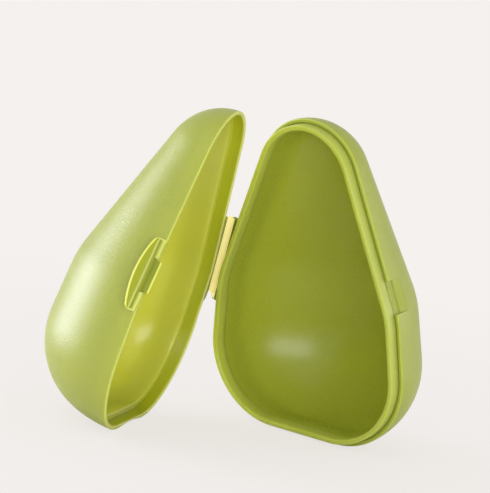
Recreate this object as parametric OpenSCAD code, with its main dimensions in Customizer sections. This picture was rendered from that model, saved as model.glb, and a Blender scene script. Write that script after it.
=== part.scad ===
// Avocado saver: two half-pear shells joined by a moulded strip hinge on one flank
// and held shut by a snap latch on the other. It stands open, on the front edges of
// the two feet. The shells are laid out closed, with the parting plane at z = 0, the
// foot at y = 0 and the narrow end towards +Y. The base fills z < 0 and the lid z > 0.

/* [Pear outline] */
// Height of the closed case, foot to narrow tip
case_len = 130; // [122:0.5:140]
// Radius of the narrow tip
tip_r = 24.2; // [21:0.1:27]
// Radius of the upper flanks
flank_r = 42; // [40:0.1:44]
// Distance of each flank arc's centre from the middle
flank_off = 2.8; // [1:0.1:5]
// Height of the flank arcs' centres above the foot
flank_y = 49.3; // [46:0.1:53]
// Radius of the round heels at the wide end
heel_r = 32.1; // [29:0.1:35]
// Half of the flat foot's width
foot_half = 14.4; // [13:0.1:17]
// Depth of one half, from the parting plane to its back
half_depth = 43.2; // [38:0.1:47]

/* [Foot] */
// Radius of the hollow under the foot, open at the parting plane
dish_r = 12; // [6:0.1:12.4]
// Depth of that hollow
dish_depth = 0.9; // [0.3:0.1:1.5]

/* [Walls and rim] */
// Wall of both shells away from the rim
wall = 1.8; // [1.4:0.1:2.4]
// Shoulder outside the locating lip
shoulder = 1.9; // [1.8:0.1:2.4]
// Thickness of the locating lip
lip_t = 2.1; // [1.7:0.1:2.5]
// Height of the locating lip above the parting plane
lip_h = 4.4; // [3:0.1:6]
// Clearance between the lip and the lid around it
lip_clear = 0.4; // [0.35:0.05:0.6]
// Depth below the rim at which the wall has thinned to its own thickness
rim_blend = 14; // [9:0.5:20]
// Hairline between the closed rims
parting_gap = 0.2; // [0.1:0.05:0.4]

/* [Strip hinge] */
// Tilt of the hinge line from the case's long axis
hinge_tilt = 16.7; // [12:0.1:21]
// Distance of the hinge line outside the flank
hinge_out = 3; // [2.6:0.1:3.6]
// Length of the hinge
hinge_len = 37.6; // [28:0.1:44]
// Shift of the hinge from the point where its line's tilt touches the flank, towards the tip
hinge_shift = 3.3; // [1:0.1:5]
// Thickness of each hinge flange
flange_t = 1.5; // [1.1:0.1:1.9]
// Distance between the closed flanges
flange_gap = 0.5; // [0.3:0.1:0.9]
// Distance from the hinge line to the flanges' edges
flange_back = 1; // [0.8:0.1:1.3]
// Height of the strip's seat on each flange's edge
strip_seat = 0.6; // [0.4:0.1:0.9]
// Angle between the two rims as the case stands open
open_angle = 72.2; // [50:0.1:100]

/* [Latch on the lid] */
// Tilt of the tab from the case's long axis
latch_tilt = 20; // [17:0.1:23]
// Shift of the tab from the point where that tilt touches the flank, towards the tip
latch_shift = 3.2; // [1:0.1:5]
// Length of the thumb tab along the rim
tab_len = 29.2; // [24:0.1:34]
// Distance of the tab's face outside the flank
tab_out = 1.5; // [1.3:0.1:2.5]
// Thickness of the tab
tab_t = 1.2; // [1:0.1:1.6]
// Height of the straight band below the thumb pad
band_h = 2.4; // [2:0.1:3.2]
// Height of the thumb pad's curve above its chord
pad_h = 4.4; // [3.6:0.1:6]
// Height of the thumb pad at its blunt ends
pad_end = 1.5; // [1:0.1:2]
// Shortening of the thumb pad at each end of the tab
pad_inset = 0.3; // [0.2:0.1:1]
// Outward flare of the thumb pad from the upright
pad_flare = 43; // [25:1:60]
// Width of the tongue
tongue_w = 12.8; // [10:0.1:15]
// Thickness of the tongue
tongue_t = 1.5; // [1.3:0.05:1.7]
// Distance of the tongue's face outside the flank
tongue_out = 0.3; // [0.2:0.05:0.5]
// Reach of the tongue past the parting plane
tongue_reach = 1.7; // [1.4:0.1:2]
// Height of the bead on the tongue
bead_h = 0.6; // [0.4:0.05:0.8]
// Clearance each side of the tongue in the tab's window
window_clear = 0.5; // [0.3:0.1:0.8]

/* [Catch in the base] */
// Clearance between the tongue and the pocket, on every side
pocket_clear = 0.3; // [0.25:0.05:0.4]
// Depth of the pocket below the parting plane
pocket_depth = 8.4; // [7.5:0.1:8.6]
// Depth below the parting plane of the panel's top edge
panel_top = 3.6; // [3:0.1:5]
// Distance of the panel's top edge inside the flank
panel_in = 1.3; // [1.2:0.05:1.5]
// Thickness of the panel at its foot
panel_foot = 0.15; // [0.1:0.05:0.25]
// Thickness of the catch's back plate
catch_t = 0.4; // [0.35:0.05:0.5]

/* [Place on the floor] */
// Distance of the base's middle from the origin, across
stand_x = 16; // [0:0.05:40]
// Distance of the foot's front edge from the origin, back
stand_y = 33.65; // [0:0.05:60]

/* [Hidden] */

outside = "#a9bd56";
inside_lip = "#b4c75c";
shaded = "#8f9c2c";
strip_cream = "#ead98c";

// Points along one flank of a section, and sections in a shell's depth
flank_steps = 32;
outer_levels = 14;
inner_levels = 12;
// Places of a section's points across the dish, as shares of its half-width
dish_shares = [1, 0.5, 0, -0.5, -1];
// Share of the flat or the end that those points span where there is no dish
flat_share = 0.7;
// Angle of the last section on the quarter turn from the rim to the back
last_level = 80;
// Least half-width of a section at its ends
end_half = 0.3;
bisections = 40;

tip_y = case_len - tip_r;
rim_w = shoulder + lip_t;
rim_z = parting_gap / 2;
skirt_in = shoulder - lip_clear;
rebate_z = rim_z + lip_h + lip_clear;

// Angle of the outward normal on the line that touches an upper and a lower arc
function touch_angle(upper, upper_r, lower, lower_r) =
    atan2(lower.y - upper.y, lower.x - upper.x)
    + acos((upper_r - lower_r) / norm(lower - upper));

tip_c = [0, tip_y];
flank_c = [flank_off, flank_y];
heel_c = [foot_half, heel_r];
tip_turn = touch_angle(tip_c, tip_r, flank_c, flank_r);
heel_turn = touch_angle(flank_c, flank_r, heel_c, heel_r);
widest_y = heel_turn > 0 ? heel_r : flank_y;

// The point on the outline where its outward normal stands at this angle
function rim_point(angle) =
    angle > tip_turn ? tip_c + tip_r * [cos(angle), sin(angle)]
    : angle > heel_turn ? flank_c + flank_r * [cos(angle), sin(angle)]
    : heel_c + heel_r * [cos(angle), sin(angle)];

function between(p, q, y) = p.x + (q.x - p.x) * (p.y - y) / (p.y - q.y);
function arc_x(c, r, y) = c.x + sqrt(max(r * r - (y - c.y) * (y - c.y), 0));

// Half-width of the outline drawn in by d, at height y
function half_width(y, d) =
    let (p1 = tip_c + (tip_r - d) * [cos(tip_turn), sin(tip_turn)],
         p2 = flank_c + (flank_r - d) * [cos(tip_turn), sin(tip_turn)],
         p3 = flank_c + (flank_r - d) * [cos(heel_turn), sin(heel_turn)],
         p4 = heel_c + (heel_r - d) * [cos(heel_turn), sin(heel_turn)])
    y >= p1.y ? arc_x(tip_c, tip_r - d, y)
    : y >= p2.y ? between(p1, p2, y)
    : y >= p3.y ? arc_x(flank_c, flank_r - d, y)
    : y >= p4.y ? between(p3, p4, y)
    : arc_x(heel_c, heel_r - d, y);

// Height at which the outline has half-width w, between a wide and a narrow height
function height_at(w, d, wide, narrow, n = bisections) =
    let (mid = (wide + narrow) / 2)
    n == 0 ? mid
    : half_width(mid, d) > w ? height_at(w, d, mid, narrow, n - 1)
    : height_at(w, d, wide, mid, n - 1);

function dish_at(x, w) = dish_depth * max(0, 1 - (x * x + w * w) / (dish_r * dish_r));

// Section of a round body whose outline is drawn in by d, at w from its long axis
function section(w, d, dished = false) =
    let (top = height_at(w, d, widest_y, case_len - d),
         low = w < foot_half ? d : height_at(w, d, widest_y, d),
         side = [for (i = [0 : flank_steps])
             let (y = (top + low) / 2 + (top - low) / 2 * cos(180 * i / flank_steps),
                  half = half_width(y, d))
             [sqrt(max(half * half - w * w, end_half * end_half)), y]],
         reach = w < dish_r ? sqrt(dish_r * dish_r - w * w) : flat_share * side[flank_steps].x,
         foot = [for (share = dish_shares)
             let (x = share * reach)
             [x, low + (dished ? dish_at(x, w) : 0)]])
    concat(side, foot, [for (i = [flank_steps : -1 : 0]) [-side[i].x, side[i].y]]);

widest = half_width(widest_y, 0);
outer_flat = half_depth / widest;
inner_flat = (half_depth - wall) / (widest - wall);

function lift(points, z) = [for (p = points) [p.x, p.y, z]];
function eased(t) = t >= 1 ? 1 : t <= 0 ? 0 : t * t * (3 - 2 * t);
// Distance of the inner surface inside the outline, thick at the rim
function inner_off(z, start) = rim_w + (wall - rim_w) * eased((z - start) / rim_blend);

outer_sections = [for (i = [outer_levels : -1 : 0])
    let (z = half_depth * sin(last_level * i / outer_levels))
    lift(section(z / outer_flat, 0, true), max(z, rim_z))];

function inner_sections(start) =
    let (deep = half_depth - wall, first = asin(start / deep))
    [for (i = [0 : inner_levels])
        let (z = deep * sin(first + (last_level - first) * i / inner_levels))
        lift(section(z / inner_flat, inner_off(z, start)), z)];

// Closed skin over a row of sections with as many points each, from the back of the
// outer surface over the rim to the back of the inner one
module skin(sections) {
    n = len(sections[0]);
    last = len(sections) - 1;
    sides = [for (s = [0 : last - 1], i = [0 : n - 1])
        let (a = s * n + i, b = s * n + (i + 1) % n)
        each [[a, b + n, b], [a, a + n, b + n]]];
    backs = [[0, widest_y, half_depth], [0, widest_y, half_depth - wall]];
    first = len(sections) * n;
    ends = [for (i = [0 : n - 1])
        let (next = (i + 1) % n)
        each [[first, i, next], [first + 1, last * n + next, last * n + i]]];
    polyhedron(concat([for (s = sections) each s], backs), concat(sides, ends), convexity = 6);
}

module outline(d = 0) {
    polygon(section(0, d));
}

// Frames on the flanks, with +X outward and +Z away from the base
module at_latch() {
    translate(rim_point(latch_tilt)) rotate([0, 0, latch_tilt]) translate([0, latch_shift, 0])
        children();
}
hinge_foot = rim_point(hinge_tilt);
hinge_point = [-hinge_foot.x - hinge_out * cos(hinge_tilt), hinge_foot.y + hinge_out * sin(hinge_tilt), 0];
module at_hinge(turn = 0) {
    translate(hinge_point) rotate([0, 0, 180 - hinge_tilt]) translate([0, -hinge_shift, 0])
        rotate([0, turn, 0]) children();
}
module off_hinge() {
    translate([0, hinge_shift, 0]) rotate([0, 0, hinge_tilt - 180]) translate(-hinge_point)
        children();
}

// Both long axes lean forward alike, so that the case stands on both feet
lean = atan(sin(hinge_tilt) * tan(open_angle / 2));
module stand() {
    translate([stand_x, stand_y, -rim_z * sin(lean)]) rotate([90 + lean, 0, 0])
        children();
}
module open_lid() {
    stand() at_hinge(open_angle) off_hinge() children();
}

tab_half = tab_len / 2;
window_half = tongue_w / 2 + window_clear;
pocket_half = tongue_w / 2 + pocket_clear;
catch_face = tongue_out - tongue_t - 2 * pocket_clear;
catch_back = catch_face - catch_t;

module block(x, y, z) {
    translate([x[0], y[0], z[0]]) cube([x[1] - x[0], y[1] - y[0], z[1] - z[0]]);
}

// Reach of the flanges into the shell's outline, where the outline trims them
flange_root = 12;

module flange() {
    translate([0, 0, flange_gap / 2]) linear_extrude(flange_t) difference() {
        at_hinge() translate([-flange_root, -hinge_len / 2])
            square([flange_root - flange_back, hinge_len]);
        outline();
    }
}

module base_shell() {
    color(outside) stand() difference() {
        mirror([0, 0, 1]) skin(concat(outer_sections, inner_sections(rim_z)));
        at_latch() block([catch_back, tab_half], [-pocket_half, pocket_half], [-pocket_depth, 1]);
    }
}

module base_rim_lip() {
    color(inside_lip) stand() translate([0, 0, -rim_z]) linear_extrude(rim_z + lip_h) difference() {
        outline(shoulder);
        outline(rim_w);
    }
}

module base_catch() {
    ridge = tongue_reach - bead_h - pocket_clear;
    color(shaded) stand() at_latch() union() {
        rotate([90, 0, 0]) linear_extrude(2 * pocket_half, center = true)
            polygon([[catch_back, -rim_z], [catch_back, -pocket_depth],
                     [catch_back + panel_foot, -pocket_depth], [-panel_in, -panel_top],
                     [catch_face, -panel_top], [catch_face, -rim_z]]);
        block([catch_back, catch_face + pocket_clear], [-tongue_w / 3, tongue_w / 3],
              [-ridge, -ridge + bead_h]);
    }
}

module base_hinge_flange() {
    color(shaded) stand() mirror([0, 0, 1]) flange();
}

module hinge_strip() {
    mid = (flange_gap + flange_t) / 2;
    near = [-flange_back, mid - strip_seat / 2];
    far = [-flange_back, mid + strip_seat / 2];
    turn = [[cos(open_angle), sin(open_angle)], [-sin(open_angle), cos(open_angle)]];
    color(strip_cream) stand() at_hinge() rotate([90, 0, 0])
        linear_extrude(hinge_len, center = true)
            polygon([[far.x, -far.y], [near.x, -near.y], turn * near, turn * far]);
}

module lid_hinge_flange() {
    color(shaded) open_lid() flange();
}

module lid_shell() {
    rim = lift(section(0, skirt_in), rim_z);
    rebate = lift(section(0, skirt_in), rebate_z);
    color(outside) open_lid() skin(concat(outer_sections, [rim, rebate], inner_sections(rebate_z)));
}

// Plan of the tab between a line inside its face and that face, with the tongue's window
module tab_plan(inner) {
    difference() {
        at_latch() translate([inner, -tab_half]) square([tab_out - inner, tab_len]);
        outline();
        at_latch() translate([-tab_half, -window_half]) square([tab_len, 2 * window_half]);
    }
}

// Thumb pad lying flat, with its chord on the Y axis and a root beyond it
module pad_shape() {
    rise = pad_h - pad_end;
    pad_r = tab_half * tab_half / (2 * rise) + rise / 2;
    difference() {
        intersection() {
            translate([pad_h - pad_r, 0]) circle(pad_r, $fn = 96);
            translate([-tab_t / 2, pad_inset - tab_half])
                square([pad_h + tab_t / 2, tab_len - 2 * pad_inset]);
        }
        translate([-tab_t, -window_half]) square([tab_t, 2 * window_half]);
    }
}

module latch_thumb_tab() {
    color(outside) open_lid() union() {
        translate([0, 0, rim_z]) linear_extrude(band_h) tab_plan(tab_out - tab_t);
        translate([0, 0, rim_z + band_h - tab_t]) linear_extrude(tab_t) tab_plan(-tab_half);
        at_latch() translate([tab_out, 0, rim_z + band_h]) rotate([0, pad_flare - 90, 0])
            linear_extrude(tab_t) pad_shape();
    }
}

module latch_tongue() {
    back = tongue_out - tongue_t;
    color(shaded) open_lid() union() {
        difference() {
            at_latch() block([back, tongue_out], [-tongue_w / 2, tongue_w / 2],
                             [-tongue_reach, rim_z + band_h]);
            translate([0, 0, rim_z]) linear_extrude(2 * band_h) outline();
        }
        at_latch() block([back - pocket_clear, tongue_out], [-tongue_w / 3, tongue_w / 3],
                         [-tongue_reach, -tongue_reach + bead_h]);
    }
}

base_shell();
base_rim_lip();
base_catch();
base_hinge_flange();
hinge_strip();
lid_hinge_flange();
lid_shell();
latch_thumb_tab();
latch_tongue();
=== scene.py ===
import math

import bmesh
import bpy
import numpy as np
from mathutils import Matrix, Vector


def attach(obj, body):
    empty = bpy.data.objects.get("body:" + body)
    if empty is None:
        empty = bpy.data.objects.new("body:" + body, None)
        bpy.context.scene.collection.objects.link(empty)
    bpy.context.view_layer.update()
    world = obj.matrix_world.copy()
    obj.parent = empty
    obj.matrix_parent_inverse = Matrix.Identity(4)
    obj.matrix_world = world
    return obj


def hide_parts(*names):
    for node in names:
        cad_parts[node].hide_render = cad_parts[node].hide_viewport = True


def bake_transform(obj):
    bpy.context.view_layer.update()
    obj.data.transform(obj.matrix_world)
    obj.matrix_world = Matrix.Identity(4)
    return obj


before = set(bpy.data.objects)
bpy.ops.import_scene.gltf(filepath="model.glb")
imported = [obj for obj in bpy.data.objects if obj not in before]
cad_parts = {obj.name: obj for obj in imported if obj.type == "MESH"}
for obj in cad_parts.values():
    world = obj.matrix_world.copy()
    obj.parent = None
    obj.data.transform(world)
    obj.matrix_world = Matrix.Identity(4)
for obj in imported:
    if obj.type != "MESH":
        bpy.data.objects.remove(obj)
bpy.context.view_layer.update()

# ---------------------------------------------------------------- sizes, in millimetres
# The pear outline and the round body over it
LENGTH, HALF_DEPTH, WALL = 130.0, 43.2, 1.8
TIP_R, FLANK_R, HEEL_R = 24.2, 42.0, 32.1
FOOT_HALF = 14.4
TIP_C = (0.0, LENGTH - TIP_R)
FLANK_C = (2.8, 49.3)
HEEL_C = (FOOT_HALF, HEEL_R)
DISH_R, DISH_DEPTH = 12.0, 0.9
MID_Y = 55
# The rims, the locating lip and the seat between them
SHOULDER, LIP_T, LIP_H, LIP_CLEAR = 1.9, 2.1, 4.4, 0.4
RIM_W = SHOULDER + LIP_T
RIM_Z, SEAT_Z = 0.1, 0.6
SKIRT_IN = SHOULDER - LIP_CLEAR
REBATE_Z = RIM_Z + LIP_H + LIP_CLEAR
BLEND = 14.0
BASE_EDGE_R, LID_EDGE_R = 0.5, 0.35
SKIRT_R, REBATE_R, SHELF_R = 0.3, 0.25, 0.5
LIP_OUT_R, LIP_IN_R = 0.35, 0.8
# How the halves stand and how far they are open, in degrees
TILT, OPEN_ANGLE = 16.7, 72.2
STAND = (16.0, 33.65)
# The hinge's flanges and web
HINGE_OUT, HINGE_LEN, HINGE_SHIFT = 3.0, 37.6, 3.3
FLANGE_T, FLANGE_GAP, FLANGE_BACK, FLANGE_R = 1.5, 0.5, 1.0, 0.3
LOW_CHAMFER, CHAMFER_LEN = 1.8, 4.0
WRAP_BASE, WRAP_LID, LOW_CUT = 1.5, 0.5, 3.4
# The latch: the thumb tab, the tongue and the pocket with its catch
LATCH_TILT, LATCH_SHIFT = 20.0, 3.2
TAB_LEN, TAB_OUT, TAB_T, BAND_H, BAND_R = 29.2, 1.5, 1.2, 2.4, 0.22
PAD_H, PAD_END, PAD_INSET, PAD_FLARE = 4.4, 1.5, 0.3, 43.0
PAD_TIP_R, PAD_END_R, PAD_LEAST, FACE_IN, HOLLOW = 0.36, 1.15, 0.35, 0.06, 0.26
TONGUE_W, TONGUE_T, TONGUE_OUT, TONGUE_REACH, BEAD_H = 12.8, 1.5, 0.3, 1.7, 0.6
WINDOW_HALF = TONGUE_W / 2 + 0.5
POCKET_CLEAR, POCKET_DEPTH, PANEL_TOP, PANEL_IN = 0.3, 8.4, 3.6, 1.3
CATCH_T, CATCH_TOP, CATCH_R = 0.4, -0.15, 0.1
RIDGE_R, RIDGE_OUT, RIDGE_Z = 0.25, 0.05, -0.6
PANEL_R, COVE_R, UNDER_FLANK = 0.15, 0.18, 0.015
# Keeps faces that would coincide apart
HAIR = 0.02

# ---------------------------------------------------------------- fineness of the meshes
AROUND = 384
TURN = np.linspace(0, 2 * math.pi, AROUND, endpoint=False)
HALVINGS = 44
BACK_ANGLE = math.radians(89.2)
SHARP = 35


def turned(degrees, axis):
    return Matrix.Rotation(math.radians(degrees), 4, axis)


def touch_angle(upper, upper_r, lower, lower_r):
    """Angle at which a line touches two circles of the outline on their outer side."""
    dx, dy = lower[0] - upper[0], lower[1] - upper[1]
    return math.atan2(dy, dx) + math.acos((upper_r - lower_r) / math.hypot(dx, dy))


TIP_TURN = touch_angle(TIP_C, TIP_R, FLANK_C, FLANK_R)
HEEL_TURN = touch_angle(FLANK_C, FLANK_R, HEEL_C, HEEL_R)


def half_width(y, d):
    """Half-width of the pear outline drawn in by d, at height y."""
    y, d = np.broadcast_arrays(np.asarray(y, float), np.asarray(d, float))

    def on(c, r, angle):
        return c[0] + (r - d) * math.cos(angle), c[1] + (r - d) * math.sin(angle)

    def bow(c, r):
        return c[0] + np.sqrt(np.maximum((r - d) ** 2 - (y - c[1]) ** 2, 0))

    def line(p, q):
        return p[0] + (q[0] - p[0]) * (p[1] - y) / (p[1] - q[1])

    p1, p2 = on(TIP_C, TIP_R, TIP_TURN), on(FLANK_C, FLANK_R, TIP_TURN)
    p3, p4 = on(FLANK_C, FLANK_R, HEEL_TURN), on(HEEL_C, HEEL_R, HEEL_TURN)
    return np.where(y >= p1[1], bow(TIP_C, TIP_R),
           np.where(y >= p2[1], line(p1, p2),
           np.where(y >= p3[1], bow(FLANK_C, FLANK_R),
           np.where(y >= p4[1], line(p3, p4), bow(HEEL_C, HEEL_R)))))


WIDEST = float(half_width(HEEL_R, 0))
OUTER_FLAT = HALF_DEPTH / WIDEST
INNER_FLAT = (HALF_DEPTH - WALL) / (WIDEST - WALL)


def eased(t):
    t = np.clip(t, 0, 1)
    return t * t * (3 - 2 * t)


def last_inside(low, high, inside):
    """The last value from low towards high at which inside still holds."""
    for _ in range(HALVINGS):
        middle = (low + high) / 2
        if inside(middle):
            low = middle
        else:
            high = middle
    return low


def section(w, d, dished=False):
    """Points of the round body's section at w from its long axis, drawn in by d.

    Each point lies where a ray from the section's middle leaves the outline.
    """
    centre = HEEL_R + (MID_Y - HEEL_R) * (1 - w / WIDEST)
    c, s = np.cos(TURN), np.sin(TURN)
    low, high = np.zeros(AROUND), np.full(AROUND, LENGTH)
    for _ in range(HALVINGS):
        r = (low + high) / 2
        x, y = r * c, centre + r * s
        inside = (y >= d) & (y <= LENGTH - d) & (half_width(y, d) ** 2 >= x * x + w * w)
        low, high = np.where(inside, r, low), np.where(inside, high, r)
    x, y = low * c, centre + low * s
    if dished:
        share = np.clip(1 - (x * x + w * w) / DISH_R ** 2, 0, 1)
        y = y + np.where(y < HEEL_R, DISH_DEPTH * (0.65 * share + 0.35 * share ** 2), 0)
    return np.c_[x, y]


def inner_off(z, start):
    """Draw-in of the inner surface: the rim's width at depth start, the wall's further in."""
    return RIM_W + (WALL - RIM_W) * eased((z - start) / BLEND)


def row(z, d, flat=OUTER_FLAT, dished=False):
    """One ring of a shell, at depth z below its rim."""
    return np.c_[section(max(z, 0) / flat, d, dished), np.full(AROUND, z)]


def straight_row(z, d):
    """A ring at depth z with the outline of the rim plane."""
    return np.c_[section(0, d), np.full(AROUND, z)]


def arc(x, y, r, start, end, steps=5):
    """Points round (x, y) at radius r, from start to end in degrees."""
    return [(x + r * math.cos(a), y + r * math.sin(a))
            for a in np.linspace(math.radians(start), math.radians(end), steps)]


def corner(z, d, r, start, end, steps=5):
    """Depths and draw-ins of the rings round an edge with its middle at depth z and draw-in d."""
    return [(depth, draw_in) for draw_in, depth in arc(d, z, r, start, end, steps)]


# ---------------------------------------------------------------- meshes
def piece(name, points, faces, place, rim=None, sharp=SHARP):
    """A mesh object from points in millimetres, put in the row frame by place.

    Its "depth" attribute is each point's distance from a rim or an edge that light comes
    out of: rim where it is given, and the depth below the rim plane otherwise.
    """
    points = np.asarray(points, float)
    m = np.array(place)
    world = points @ m[:3, :3].T + m[:3, 3]
    mesh = bpy.data.meshes.new(name)
    mesh.from_pydata((world / 1000).tolist(), [], [list(map(int, f)) for f in faces])
    bm = bmesh.new()
    bm.from_mesh(mesh)
    bmesh.ops.recalc_face_normals(bm, faces=bm.faces)
    if bm.calc_volume(signed=True) < 0:
        bmesh.ops.reverse_faces(bm, faces=bm.faces)
    bm.to_mesh(mesh)
    bm.free()
    depth = mesh.attributes.new("depth", "FLOAT", "POINT")
    values = np.abs(points[:, 2]) if rim is None else np.asarray(rim, float)
    depth.data.foreach_set("value", values.astype(np.float32))
    mesh.polygons.foreach_set("use_smooth", [True] * len(mesh.polygons))
    mesh.set_sharp_from_angle(angle=math.radians(sharp))
    obj = bpy.data.objects.new(name, mesh)
    bpy.context.scene.collection.objects.link(obj)
    return obj


def ring_faces(first, second, n):
    return [(first + i, first + (i + 1) % n, second + (i + 1) % n, second + i) for i in range(n)]


def between_rings(count, n):
    """Faces that join each of count rings of n points to the next."""
    return [face for k in range(count - 1) for face in ring_faces(k * n, (k + 1) * n, n)]


def lofted(rows, poles):
    """Points and faces over rings of points, closed by a pole at each end."""
    n = len(rows[0])
    total = len(rows) * n
    last = total - n
    faces = between_rings(len(rows), n)
    faces += [(total, (i + 1) % n, i) for i in range(n)]
    faces += [(total + 1, last + i, last + (i + 1) % n) for i in range(n)]
    return np.vstack(rows + [np.array(poles)]), faces


def looped(rows):
    """Points and faces over rings of points, with the last joined to the first."""
    n = len(rows[0])
    faces = between_rings(len(rows), n) + ring_faces((len(rows) - 1) * n, 0, n)
    return np.vstack(rows), faces


def profiled(name, outlines, place, rim=None, sharp=SHARP):
    """A solid over closed outlines of as many points each, with flat ends."""
    n = len(outlines[0])
    last = (len(outlines) - 1) * n
    faces = between_rings(len(outlines), n)
    faces.append(list(range(n))[::-1])
    faces.append([last + i for i in range(n)])
    return piece(name, np.vstack(outlines), faces, place, rim, sharp)


def applied(obj):
    """Puts the object's modifiers into its mesh."""
    bpy.context.view_layer.update()
    graph = bpy.context.evaluated_depsgraph_get()
    mesh = bpy.data.meshes.new_from_object(obj.evaluated_get(graph))
    obj.modifiers.clear()
    obj.data = mesh


def cut(obj, cutter):
    change = obj.modifiers.new("cut", "BOOLEAN")
    change.operation, change.solver, change.object = "DIFFERENCE", "EXACT", cutter
    applied(obj)
    bpy.data.objects.remove(cutter)


def bevelled(obj, width, segments, angle):
    change = obj.modifiers.new("edge", "BEVEL")
    change.width, change.segments = width / 1000, segments
    change.limit_method, change.angle_limit = "ANGLE", math.radians(angle)
    applied(obj)


def block(name, x, y, z, place):
    """A box between pairs of limits on each axis."""
    points = [(x[i], y[j], z[k]) for k in (0, 1) for j in (0, 1) for i in (0, 1)]
    faces = [(0, 2, 3, 1), (4, 5, 7, 6), (0, 1, 5, 4), (2, 6, 7, 3), (0, 4, 6, 2), (1, 3, 7, 5)]
    return piece(name, points, faces, place)


# ---------------------------------------------------------------- places
def flank_point(angle):
    a = math.radians(angle)
    return FLANK_C[0] + FLANK_R * math.cos(a), FLANK_C[1] + FLANK_R * math.sin(a)


# The base leans back so far that both halves' front edges touch the floor
LEAN = math.degrees(math.atan(math.sin(math.radians(TILT))
                              * math.tan(math.radians(OPEN_ANGLE / 2))))
BASE = (Matrix.Translation((STAND[0], STAND[1], -RIM_Z * math.sin(math.radians(LEAN))))
        @ turned(90 + LEAN, "X"))
flank_x, flank_y = flank_point(LATCH_TILT)
AT_LATCH = (Matrix.Translation((flank_x, flank_y, 0)) @ turned(LATCH_TILT, "Z")
            @ Matrix.Translation((0, LATCH_SHIFT, 0)))
flank_x, flank_y = flank_point(TILT)
hinge_x = -flank_x - HINGE_OUT * math.cos(math.radians(TILT))
hinge_y = flank_y + HINGE_OUT * math.sin(math.radians(TILT))
# Along this frame's second axis a larger value is nearer to the foot
AT_HINGE = (Matrix.Translation((hinge_x, hinge_y, 0)) @ turned(180 - TILT, "Z")
            @ Matrix.Translation((0, -HINGE_SHIFT, 0)))
LID = BASE @ AT_HINGE @ turned(OPEN_ANGLE, "Y") @ AT_HINGE.inverted()
MIRROR = Matrix.Diagonal((1, 1, -1, 1))


# ---------------------------------------------------------------- shells
def outside_rows(edge_r):
    """Rings from the back of the outer surface to its rounded rim."""
    start = math.asin((RIM_Z + edge_r) / HALF_DEPTH)
    # Even steps of angle put the rings close together in depth near the back
    depths = [(HALF_DEPTH * math.sin(a), 0) for a in np.linspace(BACK_ANGLE, start, 84)]
    depths += corner(RIM_Z + edge_r, edge_r, edge_r, 180, 270, 7)[1:]
    return [row(z, d, OUTER_FLAT, True) for z, d in depths]


def inside_rows(start):
    """Rings from the top of the inner surface to its back."""
    deep = HALF_DEPTH - WALL
    depths = [deep * math.sin(a) for a in np.linspace(math.asin(start / deep), BACK_ANGLE, 70)]
    return [row(z, inner_off(z, start), INNER_FLAT) for z in depths]


BACKS = [(0, HEEL_R, HALF_DEPTH), (0, HEEL_R, HALF_DEPTH - WALL)]

# The base's rim dips in a fine groove to the seat that the lip stands on
seat_under = SEAT_Z + HAIR
base_rim_rows = [(RIM_Z, SHOULDER - 0.62), (RIM_Z + 0.01, SHOULDER - 0.5),
                 (RIM_Z + 0.06, SHOULDER - 0.42), (RIM_Z + 0.16, SHOULDER - 0.36),
                 (SEAT_Z, SHOULDER - 0.34), (seat_under, SHOULDER + 0.1),
                 (seat_under, RIM_W - 0.05)]
base_rows = outside_rows(BASE_EDGE_R)
base_rows += [row(z, d) for z, d in base_rim_rows]
base_rows += inside_rows(seat_under)
points, faces = lofted(base_rows, BACKS)
base_skin = piece("base_shell_skin", points, faces, BASE @ MIRROR)

# The lid's skirt has a straight inner face, because the lip inside it is straight
skirt_rows = (corner(RIM_Z + SKIRT_R, SKIRT_IN - SKIRT_R, SKIRT_R, -90, 0)
              + corner(REBATE_Z - REBATE_R, SKIRT_IN + REBATE_R, REBATE_R, 180, 90, 4))
shelf_rows = corner(REBATE_Z + SHELF_R, RIM_W - SHELF_R, SHELF_R, -90, 0, 6)[:-1]
lid_rows = outside_rows(LID_EDGE_R)
lid_rows += [straight_row(z, d) for z, d in skirt_rows]
lid_rows += [row(z, d) for z, d in shelf_rows]
lid_rows += inside_rows(REBATE_Z + SHELF_R)
points, faces = lofted(lid_rows, BACKS)
lid_skin = piece("lid_shell_skin", points, faces, LID)

# The locating lip, with a softly rounded inner corner
lip_rows = [row(z, d) for z, d in
            [(SEAT_Z, SHOULDER + HAIR)]
            + corner(-LIP_H + LIP_OUT_R, SHOULDER + LIP_OUT_R, LIP_OUT_R, 180, 270, 6)
            + [(-LIP_H + HAIR, SHOULDER + 2 * LIP_OUT_R)]
            + corner(-LIP_H + LIP_IN_R, RIM_W - LIP_IN_R, LIP_IN_R, -90, 0, 9)
            + [(SEAT_Z, RIM_W)]]
points, faces = looped(lip_rows)
rim_lip = piece("rim_lip_skin", points, faces, BASE @ MIRROR, rim=np.zeros(len(points)))


# ---------------------------------------------------------------- catch
def flank_u(v, d, z=0.0):
    """How far out in the latch frame the flank drawn in by d lies, at v along it and depth z."""
    def inside(u):
        p = AT_LATCH @ Vector((u, v, 0))
        return p.x ** 2 + (z / OUTER_FLAT) ** 2 <= float(half_width(p.y, d)) ** 2

    return last_inside(-20.0, 5.0, inside)


pocket_half = TONGUE_W / 2 + POCKET_CLEAR
catch_half = pocket_half - HAIR
catch_face = TONGUE_OUT - TONGUE_T - 2 * POCKET_CLEAR
catch_back = catch_face - CATCH_T
in_base_latch = BASE @ AT_LATCH
notch = block("notch", [catch_back + 0.06, 9], [-pocket_half, pocket_half],
              [-POCKET_DEPTH, 1.5], in_base_latch)
bevelled(notch, 0.5, 4, 60)
cut(base_skin, notch)
base_skin.data.set_sharp_from_angle(angle=math.radians(SHARP))


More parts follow.
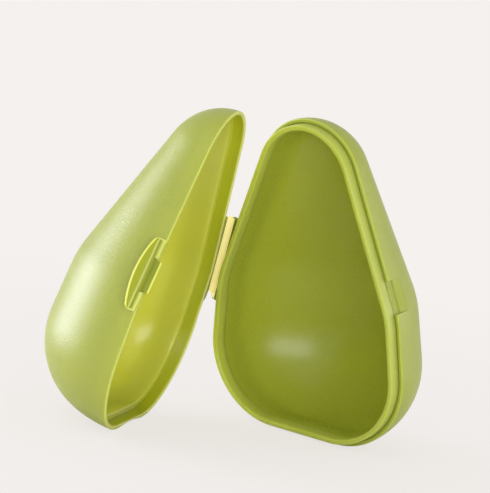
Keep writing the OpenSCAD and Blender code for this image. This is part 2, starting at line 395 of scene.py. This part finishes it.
def catch_side(v):
    """Side view of the catch at v: a plate, a ridge near its top and a panel that runs out."""
    bump = float(eased((TONGUE_W / 3 - abs(v)) / 0.5))
    points = [(catch_back, CATCH_TOP), (catch_face - CATCH_R, CATCH_TOP)]
    points += arc(catch_face - CATCH_R, CATCH_TOP - CATCH_R, CATCH_R, 90, 0, 3)
    points += [(catch_face + bump * (RIDGE_OUT + out), z)
               for out, z in arc(0, RIDGE_Z, RIDGE_R, 80, -60, 6)]
    points += [(catch_face, 2 * RIDGE_Z), (catch_face, -PANEL_TOP + 0.2)]
    points += arc(catch_face + COVE_R, -PANEL_TOP + COVE_R, COVE_R, 180, 270, 4)
    panel = arc(-PANEL_IN - PANEL_R, -PANEL_TOP - PANEL_R, PANEL_R, 90, 10)
    run_out = flank_u(v, 0, POCKET_DEPTH) + PANEL_IN
    fall = POCKET_DEPTH - PANEL_TOP - HAIR
    panel += [(-PANEL_IN + run_out * t, -PANEL_TOP - fall * t) for t in np.linspace(0.06, 1, 14)]
    points += [(min(u, flank_u(v, 0, z) - UNDER_FLANK), z) for u, z in panel]
    return points + [(catch_back - 0.1, -POCKET_DEPTH + HAIR)]


outlines = [[(u, v, z) for u, z in catch_side(v)]
            for v in np.linspace(-catch_half, catch_half, 29)]
catch_skin = profiled("catch_skin", outlines, in_base_latch)


# ---------------------------------------------------------------- hinge
def flange(name, place, sign, low_chamfer):
    """A rounded plate from a straight edge to inside the flank, drawn in at its low end."""
    h = HINGE_LEN / 2
    top, bottom = FLANGE_GAP / 2, FLANGE_GAP / 2 + FLANGE_T
    outlines = []
    for v in np.linspace(-h, h, 40):
        def short_of_flank(u):
            p = AT_HINGE @ Vector((-FLANGE_BACK - u, v, 0))
            return abs(p.x) > float(half_width(p.y, 1.2))

        reach = -FLANGE_BACK - last_inside(0.0, 14.0, short_of_flank)
        trim = max(0.0, 0.45 - (h - abs(v))) + low_chamfer * max(0.0, 1 - (h - v) / CHAMFER_LEN)
        edge = -FLANGE_BACK - trim
        middle = edge - FLANGE_R
        profile = ([(reach, top), (middle, top)]
                   + arc(middle, top + FLANGE_R, FLANGE_R, -90, 0)
                   + arc(middle, bottom - FLANGE_R, FLANGE_R, 0, 90) + [(reach, bottom)])
        outlines.append([(u, v, sign * z) for u, z in profile])
    return profiled(name, outlines, place, rim=np.full(len(outlines) * len(outlines[0]), 0.5))


base_flange = flange("base_flange_skin", BASE @ AT_HINGE, -1, 0)
lid_flange = flange("lid_flange_skin", LID @ AT_HINGE, 1, LOW_CHAMFER)

# The bending web: it lies on both flanges' front faces and bridges their edges. The points
# of its outline are (out, depth) in the base's hinge frame, and spin turns those of the lid.
turn = math.radians(OPEN_ANGLE)
spin = np.array([[math.cos(turn), math.sin(turn)], [-math.sin(turn), math.cos(turn)]])
WEB_EDGE, WEB_Z = -FLANGE_BACK - HAIR, FLANGE_GAP / 2 - HAIR
BEHIND_Z, BEND_Z = 1.25, 0.6


def leg(wrap, sign):
    """Front points of the web on one flange, from its outer edge to the flange's edge."""
    e = -FLANGE_BACK
    return np.array([(e - wrap, sign * WEB_Z), (e - wrap + 0.02, sign * (WEB_Z - 0.1)),
                     (e - wrap + 0.12, sign * (WEB_Z - 0.17)),
                     (e - wrap * 0.5, sign * (WEB_Z - 0.18)), (e - 0.12, sign * (WEB_Z - 0.17))])


def bowed(start, end, rise, ts):
    """Points on the way from start to end, bowed outwards by rise."""
    return [start + (end - start) * t + side_out * rise * math.sin(math.pi * t) for t in ts]


first, second = leg(WRAP_BASE, -1), leg(WRAP_LID, 1) @ spin.T
gap = second[-1] - first[-1]
side_out = np.array([gap[1], -gap[0]]) / np.linalg.norm(gap)
if side_out[0] < 0:
    side_out = -side_out
bridge = bowed(first[-1], second[-1], 0.22, np.linspace(0.08, 0.92, 15))
behind = bowed(spin @ np.array([WEB_EDGE, BEHIND_Z]), np.array([WEB_EDGE, -BEHIND_Z]), 0.12,
               np.linspace(0, 1, 17))
seat_lid = spin @ np.array([WEB_EDGE, WEB_Z + HAIR])
seat_base = np.array([WEB_EDGE, -WEB_Z - HAIR])
ring = np.vstack([first, bridge, second[::-1], seat_lid, behind, seat_base])
web_mid = ring.mean(0)
# The web's low end is cut on the slant, shorter on the lid's side
across = second[0] - first[0]
lid_side = np.clip((ring - first[0]) @ across / np.sum(across ** 2), 0, 1)
outlines = []
h = HINGE_LEN / 2 - 0.1
for v in np.r_[-h, -h + 0.08, -h + 0.3, np.linspace(-h + 0.8, h - 0.8, 22), h - 0.3, h - 0.08, h]:
    inset = 0.92 if abs(v) > h - 0.04 else 0.975 if abs(v) > h - 0.1 else 1
    shape = web_mid + (ring - web_mid) * inset
    outlines.append(np.c_[shape[:, 0], v - LOW_CUT * lid_side * (h + v) / (2 * h), shape[:, 1]])
strip = profiled("hinge_web", outlines, BASE @ AT_HINGE,
                 rim=np.zeros(len(outlines) * len(ring)), sharp=50)

# ---------------------------------------------------------------- latch on the lid
in_lid_latch = LID @ AT_LATCH
tab_half = TAB_LEN / 2
pad_rise = PAD_H - PAD_END
pad_r = tab_half ** 2 / (2 * pad_rise) + pad_rise / 2
flare = math.radians(PAD_FLARE)
pad_dir = np.array([math.sin(flare), math.cos(flare)])
pad_out = np.array([math.cos(flare), -math.sin(flare)])
shelf_z = RIM_Z + BAND_H
pad_foot = np.array([TAB_OUT, shelf_z])


def pad_height(v):
    """Height of the thumb pad at v, with a round corner at each blunt end."""
    rise = math.sqrt(pad_r ** 2 - v ** 2) - (pad_r - PAD_H)
    over = abs(v) - (tab_half - PAD_INSET - PAD_END_R)
    if over > 0:
        rise -= PAD_END_R - math.sqrt(max(PAD_END_R ** 2 - min(over, PAD_END_R) ** 2, 0))
    return max(rise, PAD_LEAST)


# Places in the outline below: the pad's arc, its ridge and the band's low edge
PAD_ARC, RIDGE, BAND_EDGE = range(6, 14), range(20, 23), range(25, 29)


def tab_profile(v, windowed):
    """Outline of the tab across the rim: shelf, pad's back, pad's arc, hollow face and band.

    Where it is windowed, the band is open below for the tongue.
    """
    height = pad_height(v)
    root = flank_u(v, 1.0)

    def at(along, out):
        return tuple(pad_foot + pad_dir * along + pad_out * out)

    flat = float(eased((height - 0.6) / 1.2))
    tip = height - PAD_TIP_R
    points = [(root, shelf_z - HAIR), (TAB_OUT - 1.25, shelf_z - HAIR), at(0.35, -0.92)]
    points += [at(max(height - 0.75, 0.36), -0.84), at(max(height - 0.5, 0.37), -0.8)]
    points += [at(tip + PAD_TIP_R * math.sin(a), -0.38 - PAD_TIP_R * 1.1 * math.cos(a))
               for a in np.linspace(math.radians(10), math.radians(170), 8)]
    points += [at(tip - 0.14, -FACE_IN - 0.02 * flat),
               at(tip - 0.34 * flat - 0.14, -FACE_IN - 0.12 * flat)]
    low_end = min(0.75, height * 0.35)
    high_end = max(height - 1.0, low_end + 0.05)
    points += [at(low_end + (high_end - low_end) * t,
                  -FACE_IN - HOLLOW * flat * math.sin(math.pi * (0.25 + 0.5 * t)))
               for t in (0.95, 0.7, 0.45, 0.2, 0.0)]
    points += [at(0.42, -FACE_IN), at(0.25, 0.06), at(0.05, 0.1),
               (TAB_OUT + HAIR, shelf_z - 0.3), (TAB_OUT, shelf_z - 0.55)]
    if windowed:
        slope, back = shelf_z - 1.75, TONGUE_OUT - 0.3
        points += [(TAB_OUT - 0.1, shelf_z - 0.72), (TONGUE_OUT + 0.45, slope + 0.45),
                   (TONGUE_OUT + 0.1, slope + 0.1), (TONGUE_OUT - 0.05, slope),
                   (TONGUE_OUT - 0.15, slope), (back, slope), (back, shelf_z - 0.5),
                   (back, shelf_z - 0.3)]
        points[0] = (back, shelf_z - 0.04)
    else:
        inner = TAB_OUT - TAB_T
        points += arc(TAB_OUT - BAND_R, RIM_Z + BAND_R, BAND_R, 0, -90, 4)[:3]
        points += arc(inner + 0.3, RIM_Z + 0.3, 0.3, -90, -180, 4)[:3]
        points += [(inner, shelf_z - TAB_T), (root, shelf_z - TAB_T)]
    return points


stations = np.unique(np.r_[np.linspace(-tab_half, -tab_half + 2.0, 14),
                           np.linspace(-tab_half + 2.0, -WINDOW_HALF, 14),
                           np.linspace(-WINDOW_HALF, WINDOW_HALF, 24),
                           np.linspace(WINDOW_HALF, tab_half - 2.0, 14),
                           np.linspace(tab_half - 2.0, tab_half, 14)].round(5))
outlines, shine = [], []
for v in stations:
    # The window's two edges have both outlines, one at each side of the step
    kinds = [abs(v) < WINDOW_HALF]
    if abs(abs(v) - WINDOW_HALF) < 1e-4:
        kinds = [False, True] if v < 0 else [True, False]
    end = 3 * float(eased((tab_half - abs(v)) / 0.9))
    for windowed in kinds:
        outlines.append([(u, v, z) for u, z in tab_profile(v, windowed)])
        # The light comes out along the pad's arc, its ridge, the band's low edge and the ends
        for k in range(len(outlines[-1])):
            if k in PAD_ARC or (k in BAND_EDGE and not windowed):
                shine.append(0.0)
            else:
                shine.append(min(end, 1.4 if k in RIDGE else 3.0))
tab_skin = profiled("thumb_tab_skin", outlines, in_lid_latch, rim=shine, sharp=50)

# The tongue, a plate from the pad's foot past the rim, with a small bead along its inner side
front, back, tip_z = TONGUE_OUT, TONGUE_OUT - TONGUE_T, -TONGUE_REACH
side = ([(back, shelf_z - 0.2), (back, -0.9)]
        + arc(back + 0.05, tip_z + BEAD_H / 2 + 0.02, 0.28, 120, 250, 6)
        + arc(back + 0.25, tip_z + 0.2, 0.2, 200, 270, 3)
        + arc(front - 0.4, tip_z + 0.4, 0.4, -90, 0, 6)
        + [(front, -0.9), (front, shelf_z - 0.2)])
tongue_half = TONGUE_W / 2
# Both ends are rounded by outlines that shrink, and the second half mirrors the first
outlines = [[(u - shrink if u > -0.1 else u, inset - tongue_half, z if z > 0 else z + shrink)
             for u, z in side] for inset, shrink in ((0, 0.22), (0.06, 0.07), (0.22, 0))]
outlines += [[(u, -v, z) for u, v, z in outline] for outline in outlines[::-1]]
# Painted light: the tip's edge takes the light edge colour as a painted highlight, and the plate
# takes the dark deep colour as painted shade.
shine = [0.0 if z < tip_z + 0.55 and u > back + 0.2 else 3.0 for u, z in side] * len(outlines)
tongue_skin = profiled("tongue_skin", outlines, in_lid_latch, rim=shine, sharp=50)


# ---------------------------------------------------------------- materials
def linear(r, g, b):
    """Scene colour of a display colour that is given as 0 to 255."""
    def one(c):
        c = c / 255
        return c / 12.92 if c <= 0.04045 else ((c + 0.055) / 1.055) ** 2.4
    return one(r), one(g), one(b), 1.0


class Nodes:
    """Short names for adding and linking the nodes of a new material."""

    def __init__(self, name):
        self.material = bpy.data.materials.new(name)
        self.material.use_nodes = True
        self.tree = self.material.node_tree
        self.shader = self.tree.nodes["Principled BSDF"]

    def feed(self, socket, value):
        if isinstance(value, bpy.types.NodeSocket):
            self.tree.links.new(value, socket)
        else:
            socket.default_value = value

    def add(self, kind, inputs=None, **settings):
        node = self.tree.nodes.new("ShaderNode" + kind)
        for key, value in settings.items():
            setattr(node, key, value)
        for key, value in (inputs or {}).items():
            self.feed(node.inputs[key], value)
        return node

    def put(self, key, value):
        self.feed(self.shader.inputs[key], value)

    def mix(self, factor, a, b, blend="MIX"):
        return self.add("Mix", {0: factor, 6: a, 7: b}, data_type="RGBA",
                        blend_type=blend).outputs[2]

    def ranged(self, value, low, high, to_low, to_high):
        return self.add("MapRange", {"Value": value, "From Min": low, "From Max": high,
                                     "To Min": to_low, "To Max": to_high},
                        interpolation_type="SMOOTHSTEP").outputs["Result"]

    def noise(self, where, scale, detail, rough):
        return self.add("TexNoise", {"Vector": where, "Scale": scale, "Detail": detail,
                                     "Roughness": rough}).outputs["Fac"]

    def either(self, share, first, second):
        """A mix of two shaders, with this share of the second."""
        return self.add("MixShader", {0: share, 1: first, 2: second}).outputs[0]


PLASTIC_IOR, GRAIN_HEIGHT = 1.49, 0.00015


def plastic(name, deep, edge, rough, grain, grain_scale=2600, glow=3.0, sub=0.35, scale=0.004):
    """Translucent moulded plastic, painted brighter towards a rim where the light comes through.

    The colour goes from edge at the rim to deep at the distance glow, in millimetres. The
    share of subsurface light is sub, and its reach in metres is scale.
    """
    n = Nodes(name)
    where = n.add("TexCoord").outputs["Object"]
    depth = n.add("Attribute", attribute_name="depth").outputs["Fac"]
    cloud = n.noise(where, 28, 3, 0.5)
    colour = n.mix(n.ranged(depth, 0.0, glow, 1.0, 0.0), linear(*deep), linear(*edge))
    shade = n.mix(cloud, (0.95, 0.955, 0.94, 1), (1.05, 1.045, 1.06, 1))
    n.put("Base Color", n.mix(1.0, colour, shade, "MULTIPLY"))
    fine = n.noise(where, grain_scale, 2, 0.6)
    n.put("Roughness", n.ranged(fine, 0.2, 0.8, rough - 0.04, rough + 0.04))
    bump = n.add("Bump", {"Height": fine, "Strength": grain, "Distance": GRAIN_HEIGHT})
    n.put("Normal", bump.outputs["Normal"])
    n.put("IOR", PLASTIC_IOR)
    n.put("Subsurface Weight", sub)
    n.put("Subsurface Radius", (1.0, 0.95, 0.3))
    n.put("Subsurface Scale", scale)
    return n


def satin(name, edge):
    return plastic(name, (166, 174, 64), edge, 0.36, 1.0, grain_scale=1300, glow=0.9, sub=0.8,
                   scale=0.006)


# The insides fade from the edge colour over 9 mm, and the outsides over about 1 mm. The lid's
# outside and rim are painted with light at the edge: their edge colours are brighter than the
# base's, for the light that shines through the lid's thin rim.
lid_outside = satin("lid outside", (206, 213, 96))
lid_outside.put("Specular IOR Level", 0.8)
base_outside = satin("base outside", (172, 182, 76))
lid_rim = plastic("lid rim", (160, 166, 28), (226, 230, 140), 0.34, 0.12, glow=1.0, sub=0.7,
                  scale=0.006)
base_rim = plastic("base rim", (158, 168, 60), (164, 174, 64), 0.34, 0.12, sub=0.5)
# Lit and shaded copies of one plastic: the lid's inside is painted lighter for the light that
# glows through its wall, and the base's inside is painted darker for shade.
lid_inside_painted_glow = plastic("glossy inside painted glow", (198, 200, 82), (198, 200, 78), 0.22, 0.04, glow=9.0,
                     sub=0.9, scale=0.007)
base_inside_painted_shade = plastic("inside painted shade", (168, 176, 56), (174, 182, 56), 0.28, 0.04, glow=9.0,
                      sub=0.6)
lip_green = plastic("lip green", (176, 185, 80), (180, 189, 80), 0.30, 0.08, sub=0.7,
                    scale=0.006)
catch_green = plastic("catch green", (160, 170, 44), (162, 172, 44), 0.36, 0.12)
# The hinge flanges are painted darker for the shade deep between the halves.
flange_painted_shade = plastic("trim painted shade", (128, 134, 14), (132, 138, 16), 0.40, 0.12)
tab_green = plastic("tab green", (142, 150, 16), (212, 216, 104), 0.36, 0.14, sub=0.5)
# The tongue's plate is painted darker for the shade under the thumb pad, and its tip is painted
# lighter for a highlight.
tongue_shade_and_highlight = plastic("tongue painted shade and highlight", (142, 152, 30), (226, 230, 100), 0.36, 0.14, sub=0.3)
cream = plastic("strip cream", (255, 248, 184), (255, 248, 184), 0.45, 0.10, sub=0.0)
# The thin web glows with painted light: an emission stands in for the light that passes through
# it from behind.
cream.put("Emission Color", linear(255, 226, 132))
cream.put("Emission Strength", 0.26)


def dress(obj, body, slot, nodes, *looks):
    for look in looks:
        obj.data.materials.append(look.material)
    if body:
        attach(obj, body)
    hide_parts(*nodes)


RIM_BAND = 0.8


def paint_inside(obj, place, sign, start):
    """Gives the shell's inner faces the second material and its rim's faces the third."""
    inverse = np.array(place.inverted())
    centres = np.empty(len(obj.data.polygons) * 3)
    obj.data.polygons.foreach_get("center", centres)
    local = centres.reshape(-1, 3) * 1000 @ inverse[:3, :3].T + inverse[:3, 3]
    y, z = local[:, 1], np.maximum(sign * local[:, 2], 0)
    r2 = local[:, 0] ** 2 + (z / OUTER_FLAT) ** 2
    # A surface a little over halfway between the outer and the inner one
    d = np.maximum(WALL, inner_off(z, start)) * 0.55
    inner = (half_width(y, d) ** 2 > r2) & (y > d * 0.98) & (y < LENGTH - d)
    band = (half_width(y, RIM_BAND) ** 2 > r2) & (y > RIM_BAND) & (y < LENGTH - RIM_BAND)
    band &= (z < start + 0.6) & ~inner
    obj.data.polygons.foreach_set("material_index", np.where(band, 2, inner).astype(np.int32))


dress(base_skin, "base", "shell_outside", ["base_shell"], base_outside, base_inside_painted_shade, base_rim)
paint_inside(base_skin, BASE, -1, SEAT_Z)
dress(lid_skin, "lid", "shell_outside", ["lid_shell"], lid_outside, lid_inside_painted_glow, lid_rim)
paint_inside(lid_skin, LID, 1, REBATE_Z)
dress(rim_lip, "base", "rim_lip", ["base_rim_lip"], lip_green)
dress(catch_skin, "base", "shaded_trim", ["base_catch"], catch_green)
dress(base_flange, "base", "shaded_trim", ["base_hinge_flange"], flange_painted_shade)
dress(lid_flange, "lid", "shaded_trim", ["lid_hinge_flange"], flange_painted_shade)
dress(tab_skin, "lid", "shell_outside", ["latch_thumb_tab"], tab_green)
dress(tongue_skin, "lid", "shaded_trim", ["latch_tongue"], tongue_shade_and_highlight)
dress(strip, None, "hinge_strip", ["hinge_strip"], cream)


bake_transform(strip)

# ---------------------------------------------------------------- backdrop and floor
PAPER = linear(245, 241, 238)
WORLD_STRENGTH = 0.66
FLOOR_R, RINGS, SPOKES = 1.6, 24, 64
FADE_FROM, FADE_TO = 0.12, 0.5
FLOOR_LIFT = 0.8

# The camera sees plain paper, and the objects are lit by a dimmer sky
world = bpy.data.worlds.new("studio")
bpy.context.scene.world = world
world.use_nodes = True
tree = world.node_tree
lit = tree.nodes["Background"]
shown = tree.nodes.new("ShaderNodeBackground")
for node, colour, strength in ((lit, (0.98, 0.99, 1.0, 1), WORLD_STRENGTH), (shown, PAPER, 1.0)):
    node.inputs["Color"].default_value = colour
    node.inputs["Strength"].default_value = strength
path = tree.nodes.new("ShaderNodeLightPath")
choose = tree.nodes.new("ShaderNodeMixShader")
tree.links.new(path.outputs["Is Camera Ray"], choose.inputs[0])
tree.links.new(lit.outputs[0], choose.inputs[1])
tree.links.new(shown.outputs[0], choose.inputs[2])
tree.links.new(choose.outputs[0], tree.nodes["World Output"].inputs["Surface"])

floor_points = [(0.0, 0.0, 0.0)]
for k in range(1, RINGS + 1):
    r = FLOOR_R * (k / RINGS) ** 1.5
    floor_points += [(r * math.cos(2 * math.pi * i / SPOKES),
                      r * math.sin(2 * math.pi * i / SPOKES), 0.0) for i in range(SPOKES)]
floor_faces = [(0, 1 + i, 1 + (i + 1) % SPOKES) for i in range(SPOKES)]
for k in range(RINGS - 1):
    a, b = 1 + k * SPOKES, 1 + (k + 1) * SPOKES
    floor_faces += [(a + i, b + i, b + (i + 1) % SPOKES, a + (i + 1) % SPOKES)
                    for i in range(SPOKES)]
floor_mesh = bpy.data.meshes.new("floor")
floor_mesh.from_pydata(floor_points, [], floor_faces)
floor = bpy.data.objects.new("floor", floor_mesh)
bpy.context.scene.collection.objects.link(floor)

# The floor takes shadows near the object and fades into the backdrop further out
n = Nodes("paper floor")
n.put("Base Color", linear(240, 237, 234))
n.put("Roughness", 0.9)
n.put("Specular IOR Level", 0.1)
where = n.add("TexCoord").outputs["Object"]
distance = n.add("VectorMath", {0: where}, operation="LENGTH").outputs["Value"]
fade = n.ranged(distance, FADE_FROM, FADE_TO, 0.0, 1.0)
camera_ray = n.add("LightPath").outputs["Is Camera Ray"]
glow = n.add("Emission", {"Color": PAPER, "Strength": 1.0}).outputs[0]
matt = n.shader.outputs[0]
lifted = n.either(camera_ray, matt, n.either(FLOOR_LIFT, matt, glow))
faded = n.either(fade, lifted, n.add("BsdfTransparent").outputs[0])
n.tree.links.new(faded, n.tree.nodes["Material Output"].inputs["Surface"])
floor.data.materials.append(n.material)


# ---------------------------------------------------------------- light and camera
def softbox(name, place, size, power, colour=(1, 1, 1)):
    """A rectangular lamp aimed at the object's middle."""
    data = bpy.data.lights.new(name, "AREA")
    data.shape, data.size, data.size_y = "RECTANGLE", size[0], size[1]
    data.energy, data.color = power, colour
    obj = bpy.data.objects.new(name, data)
    obj.location = place
    aim = Vector((0.0, 0.0, 0.06)) - Vector(place)
    obj.rotation_euler = aim.to_track_quat("-Z", "Y").to_euler()
    bpy.context.scene.collection.objects.link(obj)


softbox("left", (-0.92, -0.34, 0.2), (0.6, 0.6), 7.4, (0.95, 0.945, 1.2))
softbox("front right", (0.72, -0.69, 0.15), (0.85, 0.5), 4.8)
softbox("front top", (-0.1, -0.6, 0.86), (0.5, 0.5), 0.4)
softbox("back right", (0.6, 0.78, 0.2), (0.5, 0.4), 1.5)

camera_data = bpy.data.cameras.new("camera")
camera_data.sensor_fit, camera_data.sensor_width = "HORIZONTAL", 36.0
camera_data.lens = 209.428
camera_data.clip_start, camera_data.clip_end = 0.05, 20
camera = bpy.data.objects.new("camera", camera_data)
camera.location = (0.660519, -0.872503, 0.231739)
camera.rotation_euler = [math.radians(a) for a in (81.733, -7.9224, 38.3368)]
bpy.context.scene.collection.objects.link(camera)
bpy.context.scene.camera = camera
bpy.context.scene.view_settings.view_transform = "Standard"
